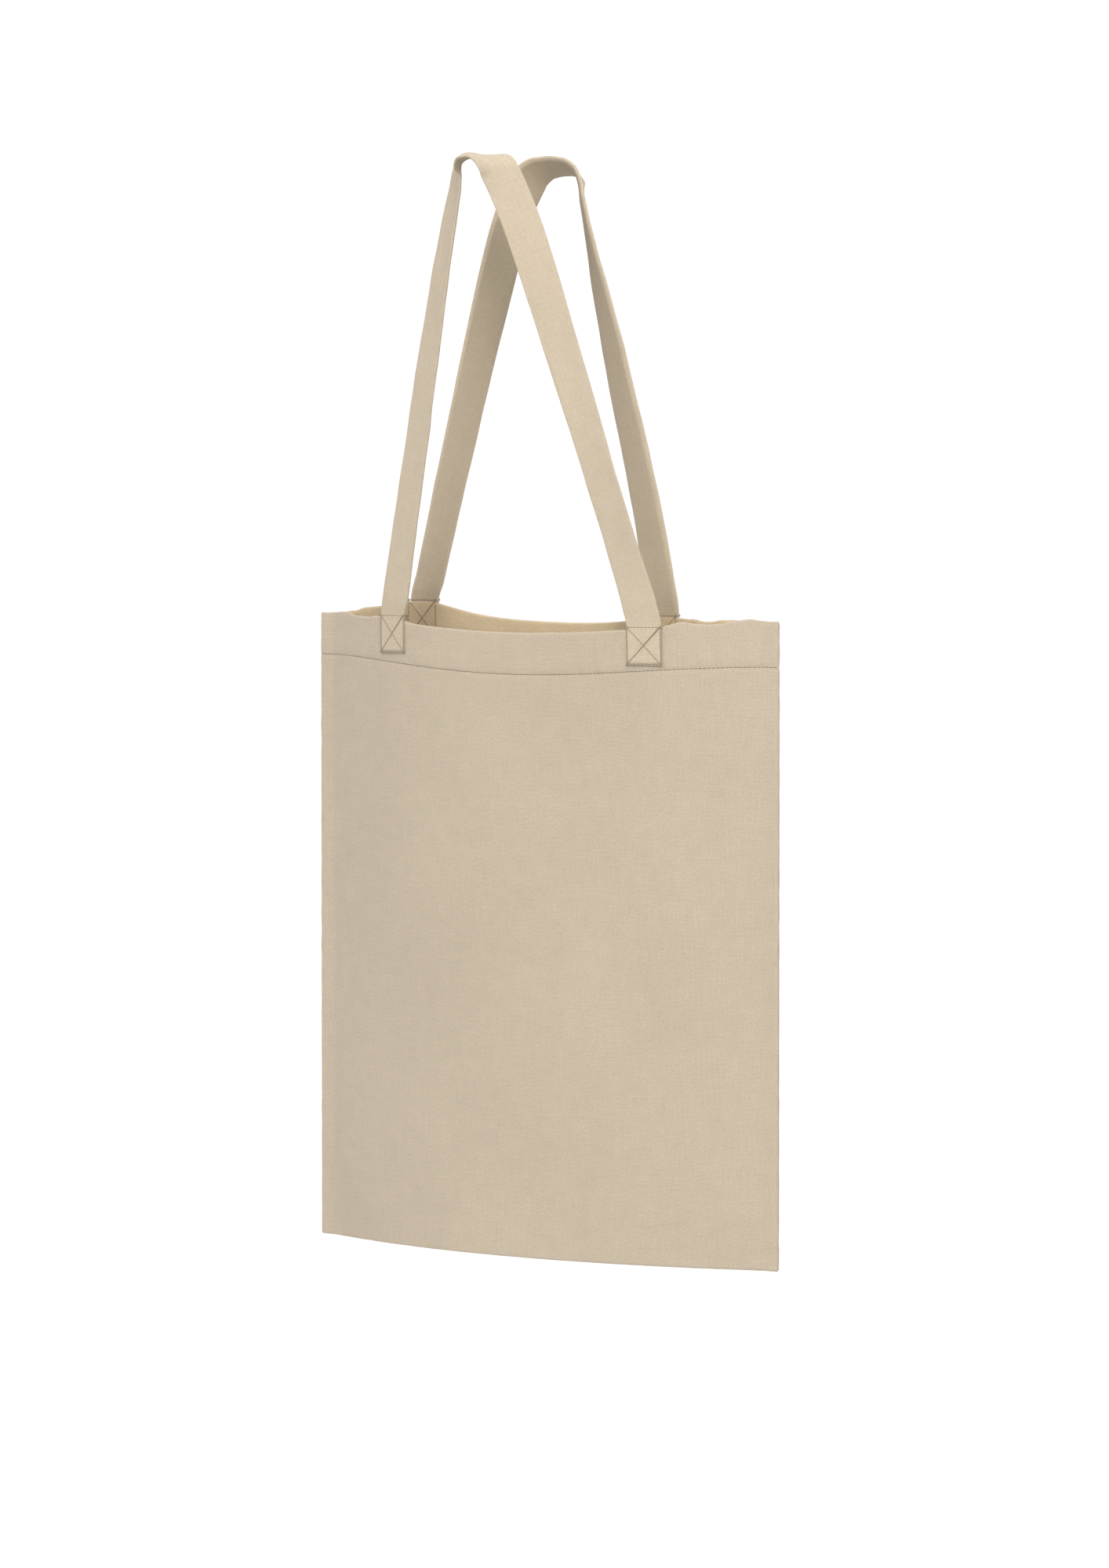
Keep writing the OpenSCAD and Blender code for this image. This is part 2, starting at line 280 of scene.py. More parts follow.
def grid_mesh(name, points, uv, wrap=False, flip=False):
    """A mesh over points[row][column] with its flat cloth coordinates in the UV map 'cloth', in metres."""
    rows, cols = points.shape[:2]
    i, j = np.meshgrid(np.arange(rows - 1), np.arange(cols if wrap else cols - 1), indexing="ij")
    a = i * cols + j
    b = i * cols + (j + 1) % cols
    quads = np.stack([a, b, b + cols, a + cols], axis=-1).reshape(-1, 4)
    uv_cols = uv.shape[1]
    ua = i * uv_cols + j
    uv_index = np.stack([ua, ua + 1, ua + 1 + uv_cols, ua + uv_cols], axis=-1).reshape(-1, 4)
    if flip:
        quads, uv_index = quads[:, ::-1], uv_index[:, ::-1]
    return mesh_from(name, points.reshape(-1, 3), quads, uv.reshape(-1, 2)[uv_index.reshape(-1)])


def mesh_from(name, points, quads, loop_uv):
    mesh = bpy.data.meshes.new(name)
    mesh.vertices.add(len(points))
    mesh.vertices.foreach_set("co", np.ascontiguousarray(points, dtype=np.float32).ravel())
    mesh.loops.add(quads.size)
    mesh.loops.foreach_set("vertex_index", np.ascontiguousarray(quads, dtype=np.int32).ravel())
    mesh.polygons.add(len(quads))
    mesh.polygons.foreach_set("loop_start", np.arange(0, quads.size, 4, dtype=np.int32))
    layer = mesh.uv_layers.new(name="cloth")
    layer.uv.foreach_set("vector", np.ascontiguousarray(loop_uv, dtype=np.float32).ravel())
    mesh.update(calc_edges=True)
    mesh.validate()
    mesh.shade_smooth()
    return mesh


def mark_painted_shading(mesh, values):
    """Stores how strongly painted light or shade applies at each point of a face turned inwards, 0 to 1."""
    attribute = mesh.attributes.new("painted_shading_weight", "FLOAT", "POINT")
    attribute.data.foreach_set("value", np.ascontiguousarray(values, dtype=np.float32).ravel())


def add_piece(name, mesh, *materials):
    piece = bpy.data.objects.new(name, mesh)
    bpy.context.scene.collection.objects.link(piece)
    for material in materials:
        mesh.materials.append(material)
    return piece


def made_plain(piece):
    """Replaces a piece's mesh by what its modifiers make of it, and drops the modifiers."""
    bpy.context.view_layer.update()
    depsgraph = bpy.context.evaluated_depsgraph_get()
    done = bpy.data.meshes.new_from_object(
        piece.evaluated_get(depsgraph), preserve_all_data_layers=True, depsgraph=depsgraph)
    done.name = piece.name
    piece.modifiers.clear()
    piece.data = done
    return piece


def thicken(piece, thickness):
    wall = piece.modifiers.new("cloth thickness", "SOLIDIFY")
    wall.thickness = thickness
    wall.offset = 0
    wall.use_even_offset = False
    wall.use_rim = True
    return made_plain(piece)


# ---------------------------------------------------------------- materials


class Nodes:
    """Short forms for building a node tree."""

    def __init__(self, tree):
        self.tree = tree

    def add(self, kind, **settings):
        node = self.tree.nodes.new(kind)
        for key, value in settings.items():
            setattr(node, key, value)
        return node

    def link(self, source, target):
        if isinstance(source, (int, float, tuple)):
            target.default_value = source
        else:
            self.tree.links.new(source, target)

    def math(self, operation, a, b=0.0, c=None, clamp=False):
        node = self.add("ShaderNodeMath", operation=operation, use_clamp=clamp)
        self.link(a, node.inputs[0])
        self.link(b, node.inputs[1])
        if c is not None:
            self.link(c, node.inputs[2])
        return node.outputs[0]

    def combine(self, x, y, z=0.0):
        node = self.add("ShaderNodeCombineXYZ")
        for value, socket in zip((x, y, z), node.inputs):
            self.link(value, socket)
        return node.outputs[0]

    def noise(self, vector, scale, detail=2.0, roughness=0.5):
        node = self.add("ShaderNodeTexNoise", noise_dimensions="3D")
        self.link(vector, node.inputs["Vector"])
        self.link(scale, node.inputs["Scale"])
        self.link(detail, node.inputs["Detail"])
        self.link(roughness, node.inputs["Roughness"])
        return node.outputs["Fac"]

    def ramp(self, value, low, high, to_low, to_high):
        node = self.add("ShaderNodeMapRange", clamp=True)
        for socket, item in zip(node.inputs, (value, low, high, to_low, to_high)):
            self.link(item, socket)
        return node.outputs[0]

    def tint(self, colour, factor):
        """colour times a grey factor."""
        node = self.add("ShaderNodeVectorMath", operation="SCALE")
        self.link(colour, node.inputs[0])
        self.link(factor, node.inputs["Scale"])
        return node.outputs[0]

    def blend(self, factor, a, b):
        node = self.add("ShaderNodeMix", data_type="RGBA")
        self.link(factor, node.inputs[0])
        self.link(a, node.inputs[6])
        self.link(b, node.inputs[7])
        return node.outputs[2]


def new_material(name):
    material = bpy.data.materials.new(name)
    material.use_nodes = True
    tree = material.node_tree
    tree.nodes.clear()
    n = Nodes(tree)
    out = n.add("ShaderNodeOutputMaterial")
    shader = n.add("ShaderNodeBsdfPrincipled")
    tree.links.new(shader.outputs[0], out.inputs[0])
    return material, n, shader


WEAVE_PITCH = 0.62 * MM
SLUBS_PER_M = 42.0
FLECK = (0.33, 0.235, 0.13, 1.0)


def weave(n, u, v, pitch):
    """Plain weave of two sets of yarns. Returns its height and which set is on top, about -1 to 1."""
    wave_u = n.math("SINE", n.math("MULTIPLY", u, math.pi / pitch))
    wave_v = n.math("SINE", n.math("MULTIPLY", v, math.pi / pitch))
    over = n.math("MULTIPLY", wave_u, wave_v)
    height = n.math("POWER", n.math("ABSOLUTE", over), 0.55)
    return height, over


def cloth_material(name, colour, pitch, inner_light_shade_tint):
    """Undyed cotton cloth: woven yarns with slubs, uneven shade, seed flecks and a dull surface."""
    material, n, shader = new_material(name)
    uv = n.add("ShaderNodeUVMap", uv_map="cloth").outputs[0]
    place = n.add("ShaderNodeSeparateXYZ")
    n.link(uv, place.inputs[0])
    u, v = place.outputs[0], place.outputs[1]
    # yarns wander a little
    drift = n.noise(uv, 90.0, 2.0)
    drift = n.math("MULTIPLY", n.math("SUBTRACT", drift, 0.5), pitch * 1.6)
    height, over = weave(n, n.math("ADD", u, drift), n.math("SUBTRACT", v, drift), pitch)
    top_warp = n.ramp(over, -0.25, 0.25, 0.0, 1.0)
    # slubs: thick and thin places along each yarn
    across_u, across_v = n.math("MULTIPLY", u, 1 / pitch), n.math("MULTIPLY", v, 1 / pitch)
    along_u, along_v = n.math("MULTIPLY", u, SLUBS_PER_M), n.math("MULTIPLY", v, SLUBS_PER_M)
    warp_slub = n.noise(n.combine(across_u, along_v), 1.0, 2.0)
    weft_slub = n.noise(n.combine(along_u, across_v, 7.0), 1.0, 2.0)
    slub_pick = n.add("ShaderNodeMix", data_type="FLOAT")
    n.link(top_warp, slub_pick.inputs[0])
    n.link(weft_slub, slub_pick.inputs[2])
    n.link(warp_slub, slub_pick.inputs[3])
    slub = slub_pick.outputs[0]
    fuzz = n.noise(uv, 5200.0, 2.0)
    blotch = n.noise(uv, 9.0, 3.0, 0.55)
    mottle = n.noise(uv, 85.0, 4.0, 0.6)
    grain = n.noise(uv, 640.0, 3.0, 0.6)
    speck = n.noise(uv, 620.0, 1.0)
    # shade of each point: yarn, slub, painted shade in the hollows between yarns, soft blotches
    shade = n.ramp(slub, 0.25, 0.75, 0.915, 1.065)
    shade = n.math("MULTIPLY", shade, n.ramp(height, 0.0, 0.8, 0.76, 1.04))
    shade = n.math("MULTIPLY", shade, n.ramp(blotch, 0.3, 0.7, 0.970, 1.025))
    shade = n.math("MULTIPLY", shade, n.ramp(mottle, 0.3, 0.7, 0.975, 1.02))
    shade = n.math("MULTIPLY", shade, n.ramp(grain, 0.25, 0.75, 0.91, 1.075))
    shade = n.math("MULTIPLY", shade, n.ramp(fuzz, 0.25, 0.75, 0.955, 1.04))
    warm = tuple(c * w for c, w in zip(colour, (1.018, 1.0, 0.960)))
    cool = tuple(c * w for c, w in zip(colour, (0.984, 1.0, 1.030)))
    base = n.blend(n.ramp(grain, 0.35, 0.65, 0.0, 1.0), cool + (1.0,), warm + (1.0,))
    base = n.tint(base, shade)
    # painted light and shade on faces turned inwards, weighted by a point attribute: the panels' inner faces
    # are tinted lighter and warmer as painted bounce light, the straps' inner faces darker as painted shade
    inner = n.add("ShaderNodeAttribute", attribute_name="painted_shading_weight").outputs["Fac"]
    painted_inner_base = n.add("ShaderNodeVectorMath", operation="MULTIPLY")
    n.link(base, painted_inner_base.inputs[0])
    n.link(inner_light_shade_tint, painted_inner_base.inputs[1])
    base = n.blend(inner, base, painted_inner_base.outputs[0])
    flecks = n.math("MULTIPLY", n.ramp(speck, 0.735, 0.79, 0.0, 0.55), n.ramp(blotch, 0.42, 0.6, 0.25, 1.0))
    base = n.blend(flecks, base, FLECK)
    n.link(base, shader.inputs["Base Color"])
    shader.inputs["Roughness"].default_value = 0.92
    shader.inputs["Specular IOR Level"].default_value = 0.18
    shader.inputs["Sheen Weight"].default_value = 0.12
    shader.inputs["Sheen Roughness"].default_value = 0.5
    # relief of the yarns, their slubs and the loose fibres
    yarn_bump = n.add("ShaderNodeBump")
    yarn_bump.inputs["Strength"].default_value = 0.75
    yarn_bump.inputs["Distance"].default_value = 0.00020
    relief_height = n.math("ADD", height, n.math("MULTIPLY", slub, 0.9))
    relief_height = n.math("ADD", relief_height, n.math("MULTIPLY", fuzz, 0.35))
    n.link(relief_height, yarn_bump.inputs["Height"])
    soft_bump = n.add("ShaderNodeBump")
    soft_bump.inputs["Strength"].default_value = 0.35
    soft_bump.inputs["Distance"].default_value = 0.0009
    n.link(mottle, soft_bump.inputs["Height"])
    n.link(yarn_bump.outputs[0], soft_bump.inputs["Normal"])
    n.link(soft_bump.outputs[0], shader.inputs["Normal"])
    return material


def thread_material(name, colour):
    """Twisted sewing thread: fine plies across its run, and a slight lustre."""
    material, n, shader = new_material(name)
    where = n.add("ShaderNodeTexCoord").outputs["Object"]
    ply = n.add("ShaderNodeTexWave", wave_type="BANDS", bands_direction="DIAGONAL")
    n.link(where, ply.inputs["Vector"])
    ply.inputs["Scale"].default_value = 900.0
    ply.inputs["Distortion"].default_value = 1.2
    # the grooves between the thread's plies are painted darker, as painted shade; the noise gives the thread
    # an uneven tone
    tone = n.noise(where, 420.0, 2.0)
    shade = n.math("MULTIPLY", n.ramp(ply.outputs["Fac"], 0.0, 1.0, 0.86, 1.05),
                   n.ramp(tone, 0.3, 0.7, 0.92, 1.06))
    n.link(n.tint(colour, shade), shader.inputs["Base Color"])
    shader.inputs["Roughness"].default_value = 0.62
    shader.inputs["Sheen Weight"].default_value = 0.15
    bump = n.add("ShaderNodeBump")
    bump.inputs["Strength"].default_value = 0.5
    bump.inputs["Distance"].default_value = 0.00012
    n.link(ply.outputs["Fac"], bump.inputs["Height"])
    n.link(bump.outputs[0], shader.inputs["Normal"])
    return material


# the canvas's inner tint paints its inner faces lighter and warmer: painted light
canvas = cloth_material("canvas", (0.622, 0.528, 0.408), WEAVE_PITCH, (1.15, 1.09, 0.94))
# the strap canvas's inner tint paints its inner faces darker: painted shade
strap_cloth = cloth_material("strap canvas", (0.668, 0.566, 0.432), WEAVE_PITCH, (0.60, 0.590, 0.555))
thread = thread_material("sewing thread", (0.245, 0.195, 0.135))
box_thread = thread_material("box stitch thread", (0.335, 0.272, 0.190))
overlock_thread = thread_material("overlock thread", (0.560, 0.500, 0.400))

# ---------------------------------------------------------------- panels


def across_profile():
    """Columns of a panel: its width, with the quarter turn of its edge at each side. Returns x and depth."""
    main = HALF_W - TURN_R
    n_main = 196
    # finer columns towards the edges
    t = np.linspace(-1, 1, n_main)
    xs = main * (0.88 * t + 0.12 * t ** 3)
    turn = np.linspace(0, math.pi / 2, 5)[1:]
    left = [(-main - TURN_R * math.sin(a), TURN_R * (1 - math.cos(a))) for a in turn[::-1]]
    right = [(main + TURN_R * math.sin(a), TURN_R * (1 - math.cos(a))) for a in turn]
    x = np.array([p[0] for p in left] + list(xs) + [p[0] for p in right])
    depth = np.array([p[1] for p in left] + [0.0] * len(xs) + [p[1] for p in right])
    depth = np.minimum(depth, TURN_R - 0.15 * MM)
    return x, depth


HEM_FOLD_R = CLOTH_T * 1.02
HEM_PAST_STITCHES = 2.4 * MM                 # the hem's lower fold below its line of stitches
BOTTOM_BAND = 24 * MM                        # finer rows this far above the bottom seam
BELOW_HEM = 14 * MM                          # and from here to there round the hem line
ABOVE_HEM = 12 * MM


def panel(name, front):
    """One panel: turned under at its bottom, up its outer face, over the rim and down inside as a hem."""
    x, turn_depth = across_profile()
    rim = rim_z(x, front)
    hem = hem_z(x, front)
    coarse = 1
    rows = []          # height and depth into the bag, for every column

    # quarter turn at the bottom
    for a in np.linspace(math.pi / 2, 0, 5)[:-1]:
        z = BOTTOM_Z + TURN_R * (1 - math.sin(a)) + CLOTH_T / 2
        rows.append((np.full_like(x, z), np.full_like(x, TURN_R * (1 - math.cos(a)) - 0.1 * MM)))
    # outer face, with finer rows near the bottom and around the hem line
    start = BOTTOM_Z + TURN_R + CLOTH_T / 2
    low = start + BOTTOM_BAND
    fold_r = HEM_FOLD_R
    top = rim - fold_r - CLOTH_T / 2
    face = ((np.full_like(x, start), low, 16 // coarse), (low, hem - BELOW_HEM, 96 // coarse),
            (hem - BELOW_HEM, hem + ABOVE_HEM, 26 // coarse), (hem + ABOVE_HEM, top, 5 if coarse > 1 else 10))
    for z_from, z_to, count in face:
        for f in np.linspace(0, 1, count, endpoint=False):
            rows.append((mix(z_from, z_to, f), np.zeros_like(x)))
    # over the rim, where the cloth's inner ply begins
    inner_from = len(rows) + 6
    for a in np.linspace(0, math.pi, 9):
        rows.append((top + fold_r * math.sin(a), np.full_like(x, fold_r * (1 - math.cos(a)))))
    # down inside to the bottom of the hem, and the raw edge turned up between the layers
    hem_end = hem - HEM_PAST_STITCHES
    for f in np.linspace(0, 1, 20 // coarse)[1:]:
        rows.append((mix(top, hem_end, f), np.full_like(x, 2 * fold_r)))
    for a in np.linspace(0, math.pi, 6)[1:]:
        deep = 1.5 * fold_r + fold_r / 2 * math.cos(a)
        rows.append((hem_end - fold_r / 2 * math.sin(a), np.full_like(x, deep)))
    for f in np.linspace(0, 1, 5)[1:]:
        rows.append((mix(hem_end, hem_end + HEM_TURN, f), np.full_like(x, fold_r)))

    z = np.array([r[0] for r in rows])
    depth = np.array([r[1] for r in rows])
    # the hem is pressed thinner where it runs into the side seams
    thin = mix(0.62, 1.0, smooth((HALF_W - np.abs(x)) / 0.016))
    inner_rows = depth > 1e-9
    above = z > hem - 0.01
    depth = np.where(inner_rows & above, depth * thin, depth)
    xs = np.broadcast_to(x, z.shape)
    y = face_y(xs, z, front)
    # inward direction of the bowed sheet, in plan
    slope = (face_y(xs + 1 * MM, z, front) - face_y(xs - 1 * MM, z, front)) / (2 * MM)
    slope = np.clip(slope, -0.5, 0.5)
    inward = 1.0 if front else -1.0
    nx = -slope * inward / np.sqrt(1 + slope ** 2)
    ny = inward / np.sqrt(1 + slope ** 2)
    # at the turned edges the sheet runs front to back, so inwards is towards the bag's middle
    lean = turn_depth / TURN_R
    px = xs + nx * depth * (1 - lean) - np.sign(xs) * depth * lean
    py = y + ny * (depth * (1 - lean) + turn_depth)
    points = np.stack([px, py, z], axis=-1)
    along = np.concatenate([[0], np.cumsum(np.linalg.norm(np.diff(points[40 // coarse], axis=0), axis=1))])
    middle = len(x) // 2
    up = np.concatenate([[0], np.cumsum(np.linalg.norm(np.diff(points[:, middle], axis=0), axis=1))])
    uv = np.stack(np.broadcast_arrays(along[None, :], up[:, None]), axis=-1)
    mesh = grid_mesh(name, points, uv, flip=not front)
    # painted light: the cloth from over the rim down inside is tinted lighter and warmer
    over_rim = (np.arange(len(rows)) >= inner_from)[:, None]
    mark_painted_shading(mesh, np.broadcast_to(over_rim, xs.shape))
    return thicken(add_piece(name, mesh, canvas), CLOTH_T)


front_cloth = panel("front_panel_cloth", True)
back_cloth = panel("back_panel_cloth", False)

# ---------------------------------------------------------------- turned-in seam allowances

allowance_ripple = Ripple(71, (0.06, 0.035))


def side_allowance(name, side):
    """The two layers of a side seam's allowance, hanging together inside the bag."""
    plies = []
    zs = np.linspace(BOTTOM_Z + 3 * MM, RIM_Z - HEM_W - 4 * MM, 90)
    xs = np.linspace(HALF_W - 2.2 * MM, HALF_W - SEAM_ALLOWANCE, 6)
    z, x = np.meshgrid(zs, xs, indexing="ij")
    sway = 0.25 * MM * allowance_ripple(x * 3, z) * (HALF_W - x) / SEAM_ALLOWANCE
    for layer in (-1, 1):
        y = np.full_like(x, layer * 0.44 * MM) + sway
        points = np.stack([side * x, y, z], axis=-1)
        mesh = grid_mesh(name, points, np.stack([x, z], axis=-1), flip=(side < 0))
        plies.append(thicken(add_piece(name + "_ply", mesh, canvas), CLOTH_T * 0.95))
    return joined(name, plies)


def bottom_allowance(name):
    """The two layers of the bottom seam's allowance, standing up inside the bag."""
    plies = []
    xs = np.linspace(-HALF_W + 6 * MM, HALF_W - 6 * MM, 150)
    zs = np.linspace(BOTTOM_Z + 2.4 * MM, BOTTOM_Z + SEAM_ALLOWANCE, 6)
    z, x = np.meshgrid(zs, xs, indexing="ij")
    sway = 0.1 * MM * allowance_ripple(x, z * 3)
    for layer in (-1, 1):
        y = layer * 0.42 * MM + sway - arc_depth(x, FRONT_BOW)
        points = np.stack([x, y, z], axis=-1)
        mesh = grid_mesh(name, points, np.stack([x, z], axis=-1))
        plies.append(thicken(add_piece(name + "_ply", mesh, canvas), CLOTH_T * 0.9))
    return joined(name, plies)


def joined(name, parts):
    """One piece from several, with their material slots kept."""
    for other in bpy.context.selected_objects:
        other.select_set(False)
    for part in parts:
        part.select_set(True)
    bpy.context.view_layer.objects.active = parts[0]
    bpy.ops.object.join()
    parts[0].name = name
    parts[0].data.name = name
    parts[0].select_set(False)
    return parts[0]


left_allowance = side_allowance("left_seam_allowance", -1)
right_allowance = side_allowance("right_seam_allowance", 1)
bottom_edge_allowance = bottom_allowance("bottom_seam_allowance")

# ---------------------------------------------------------------- handles

# Each leg from its fold up to the middle of the handle's top, in millimetres and degrees: height above the
# side rim, out from the middle, towards the back, turn of the left leg, turn of the right leg, roll
FRONT_STATIONS = (
    (None, 105.0, None, 12.8, 12.8, 0),
    (12, 101.2, -31.6, 11.5, 9.0, 0),
    (45, 92.0, -36.0, 14.0, 2.0, 0),
    (97, 77.4, -42.6, 17.0, 1.0, 0),
    (149, 62.4, -49.1, 20.0, 7.0, 0),
    (200, 47.6, -55.9, 25.5, 17.0, 0),
    (236, 37.0, -60.6, 30.5, 28.0, 0),
    (261, 29.1, -64.4, 33.5, 35.0, 0),
    (279, 22.6, -67.2, 36.5, 38.0, 0),
    (290, 18.6, -69.6, 40.0, 41.0, 0),
    (297.6, 14.6, -71.2, 47.0, 45.0, 1),
    (301.0, 7.0, -72.0, 68.0, 66.0, 2),
    (301.4, 0.0, -72.3, 90.0, 90.0, 2),
)
BACK_STATIONS = (
    (None, 99.0, None, -3.0, -3.0, 0),
    (23.5, 95.0, -2.2, -4.0, 1.0, 0),
    (44, 90.4, -1.7, -3.5, 4.0, 0),
    (71, 84.0, -1.0, -2.0, 6.5, 0),
    (123, 70.1, -0.1, 4.6, 12.0, 0),
    (175, 55.7, 0.6, 12.7, 21.5, 0),
    (219, 43.0, 1.3, 24.0, 33.0, 0),
    (252, 33.4, 2.6, 37.0, 44.5, 0),
    (273, 26.7, 5.2, 44.0, 51.0, 2),
    (283, 23.0, 8.2, 48.0, 55.0, 6),
    (291, 18.4, 10.8, 56.0, 63.0, 14),
    (295.6, 10.5, 12.9, 72.0, 76.0, 24),
    (296.8, 0.0, 14.0, 90.0, 90.0, 27),
)


def curve_through(knots, values, at):
    """A smooth curve through values at knots, without overshoot between them (monotone cubic)."""
    step = np.diff(knots)
    rate = np.diff(values, axis=0) / step[:, None]
    left, right = rate[:-1], rate[1:]
    product = left * right
    inner = np.where(product > 0, 2 * product / np.where(product > 0, left + right, 1), 0)
    slope = np.concatenate([rate[:1], inner, rate[-1:]])
    i = np.clip(np.searchsorted(knots, at, side="right") - 1, 0, len(step) - 1)
    t = ((at - knots[i]) / step[i])[:, None]
    h = step[i][:, None]
    return ((1 + 2 * t) * (1 - t) ** 2 * values[i] + t * (1 - t) ** 2 * h * slope[i]
            + t ** 2 * (3 - 2 * t) * values[i + 1] + t ** 2 * (t - 1) * h * slope[i + 1])


RIGHT_FOOT_IN = 1.4 * MM                     # the front handle's right foot is sewn a little further in
TOP_DROP = 2.5 * MM                          # the front handle's right shoulder hangs a little lower


def strap_section(count=44):
    """Outline of the folded strap across its width, flat with soft round edges. Returns (across, out)."""
    half_w, half_t = STRAP_W / 2, STRAP_T / 2
    outline = []
    for k in range(count):
        a = 2 * math.pi * (k + 0.5) / count
        c, s = math.cos(a), math.sin(a)
        outline.append((half_w * math.copysign(abs(c) ** 0.45, c), half_t * math.copysign(abs(s) ** 0.5, s)))
    return np.array(outline)


strap_sway = Ripple(83, (0.16, 0.09))
strap_roll = Ripple(97, (0.22, 0.12))
strap_edge = Ripple(101, (0.05, 0.03))
STRAP_SWAY = 0.45 * MM
STRAP_SWING = math.radians(2.0)
STRAP_WAVER = 0.22 * MM
FRONT_CUP = 0.9 * MM
BACK_CUP = 1.3 * MM
# over this run the painted shade on a strap's inner face deepens from its foot towards its top
LEG_RUN = 270 * MM                           # from a foot to where its leg bends over the top
SQUARE_RUN = 22 * MM                         # above its fold a strap still lies square over this length
FREE_RUN = 60 * MM                           # and hangs quite free from here up
TOP_RUN = 30 * MM                            # the cup flattens out this near the middle of the top
FOLD_LIFT = 0.5 * MM                         # the fold above the rim
FOLD_GAP = 0.6 * MM                          # the sewn length's end below the fold
PRESSED_IN = 0.4 * MM                        # a sewn end is this much narrower


def handle(name, front):
    """One strap: sewn down at its left end, up over the loop, and sewn down at its right end.

    Returns the piece and the line of its middle, with the directions across it and out of its outer face.
    """
    side = -1 if front else 1
    stations = FRONT_STATIONS if front else BACK_STATIONS
    lift = CLOTH_T / 2 + UNDER_STRAP + SEWN_T / 2

    def seat(x, z):
        """Middle of the strap where it lies on its panel."""
        return float(face_y(np.array(x), np.array(z), front)) + side * lift

    def leg(mirror):
        rows = []
        x0 = mirror * stations[0][1] * MM - (RIGHT_FOOT_IN if front and mirror > 0 else 0)
        fold_z = float(rim_z(np.array(x0), front)) + FOLD_LIFT
        for z, x, y, left_turn, right_turn, roll in stations:
            turn = left_turn if mirror < 0 else right_turn
            if z is None:
                rows.append((x0, seat(x0, fold_z - 4 * MM), fold_z, turn, roll))
            else:
                # a foot held higher or lower than the rim's plain line moves the start of its leg
                shift = (fold_z - RIM_Z) * math.exp(-max(0, z - 6) / 60) * 0.35
                if front and mirror > 0:
                    shift -= TOP_DROP * math.exp(-((x - 15) / 9) ** 2) * float(z > 250)
                rows.append((mirror * x * MM, y * MM, RIM_Z + z * MM + shift, turn, roll))
        foot = []
        for f in np.linspace(0, 1, 12, endpoint=False):
            z = fold_z - FOLD_GAP - (SEWN_LEN - SEWN_SHORT) * (1 - f)
            foot.append((x0, seat(x0, z), z, stations[0][3] if mirror < 0 else stations[0][4], 0))
        return foot, rows

    left_foot, left_leg = leg(-1)
    right_foot, right_leg = leg(1)
    table = np.array(left_foot + left_leg + right_leg[-2::-1] + right_foot[::-1])
    knots = np.concatenate([[0], np.cumsum(np.linalg.norm(np.diff(table[:, :3], axis=0), axis=1))])
    total = knots[-1]
    spacing = 1.9 * MM
    run = np.linspace(0, total, int(total / spacing))
    # finer rows over the top
    run = run - (total / 2 / 3.1) * 0.42 * np.sin((run / total - 0.5) * 2 * math.pi)
    line = curve_through(knots, table, run)
    centre = line[:, :3]
    top = int(np.argmin(np.abs(run - total / 2)))
    mirror = np.where(np.arange(len(run)) > top, -1.0, 1.0)
    turn, roll = np.radians(line[:, 3]), np.radians(line[:, 4])
    tangent = unit(np.gradient(centre, run, axis=0))
    # at its feet the strap lies square on the panel and only then swings over to its leg
    from_foot = np.minimum(run - knots[len(left_foot)], knots[-1 - len(right_foot)] - run)
    upright = np.zeros_like(tangent)
    upright[:, 2] = mirror
    along = unit(mix(upright, tangent, smooth(from_foot / SQUARE_RUN)[:, None]))
    flat = np.stack([mirror * np.cos(turn) * np.cos(roll),
                     side * np.sin(turn) * np.cos(roll),
                     -np.sin(roll)], axis=1)
    across = unit(flat - (flat * along).sum(1, keepdims=True) * along)
    out = np.cross(along, across) * side
    free = smooth(from_foot / FREE_RUN)
    centre = centre + out * (STRAP_SWAY * strap_sway(run, run * 0 + side) * free)[:, None]
    swing = STRAP_SWING * strap_roll(run, run * 0 - side) * free
    across, out = (across * np.cos(swing)[:, None] + out * np.sin(swing)[:, None],
                   out * np.cos(swing)[:, None] - across * np.sin(swing)[:, None])

    # the free strap cups a little across its width, hollow on its outer face, and its edges waver
    section = strap_section()
    s = section[:, 0] / (STRAP_W / 2)
    at_top = bell(run, total / 2, TOP_RUN) * (1.0 if front else 0.3)
    cup = (FRONT_CUP if front else BACK_CUP) * free * (1 - at_top)
    hollow = -(1 - s ** 2 - 0.5)
    waver = STRAP_WAVER * strap_edge(run[:, None], s[None, :] * 0.02) * np.abs(s)[None, :] * free[:, None]
    # pressed thin and a little narrower over the stitched length, full again just above the fold
    full = smooth((from_foot + 4 * MM) / 0.016)
    thick = mix(SEWN_T / STRAP_T, 1.0, full)
    wide = mix(1 - PRESSED_IN / STRAP_W, 1.0, full)
    points = (centre[:, None, :]
              + across[:, None, :] * (section[None, :, 0] * wide[:, None])[..., None]
              + out[:, None, :] * (section[None, :, 1] * thick[:, None] + hollow[None, :] * cup[:, None]
                                   + waver)[..., None])
    # flat cloth coordinates: round the outline and along the strap
    ring = np.concatenate([section, section[:1]])
    around = np.concatenate([[0], np.cumsum(np.linalg.norm(np.diff(ring, axis=0), axis=1))])
    uv = np.stack(np.broadcast_arrays(around[None, :], run[:, None]), axis=-1)
    mesh = grid_mesh(name, points, uv, wrap=True)
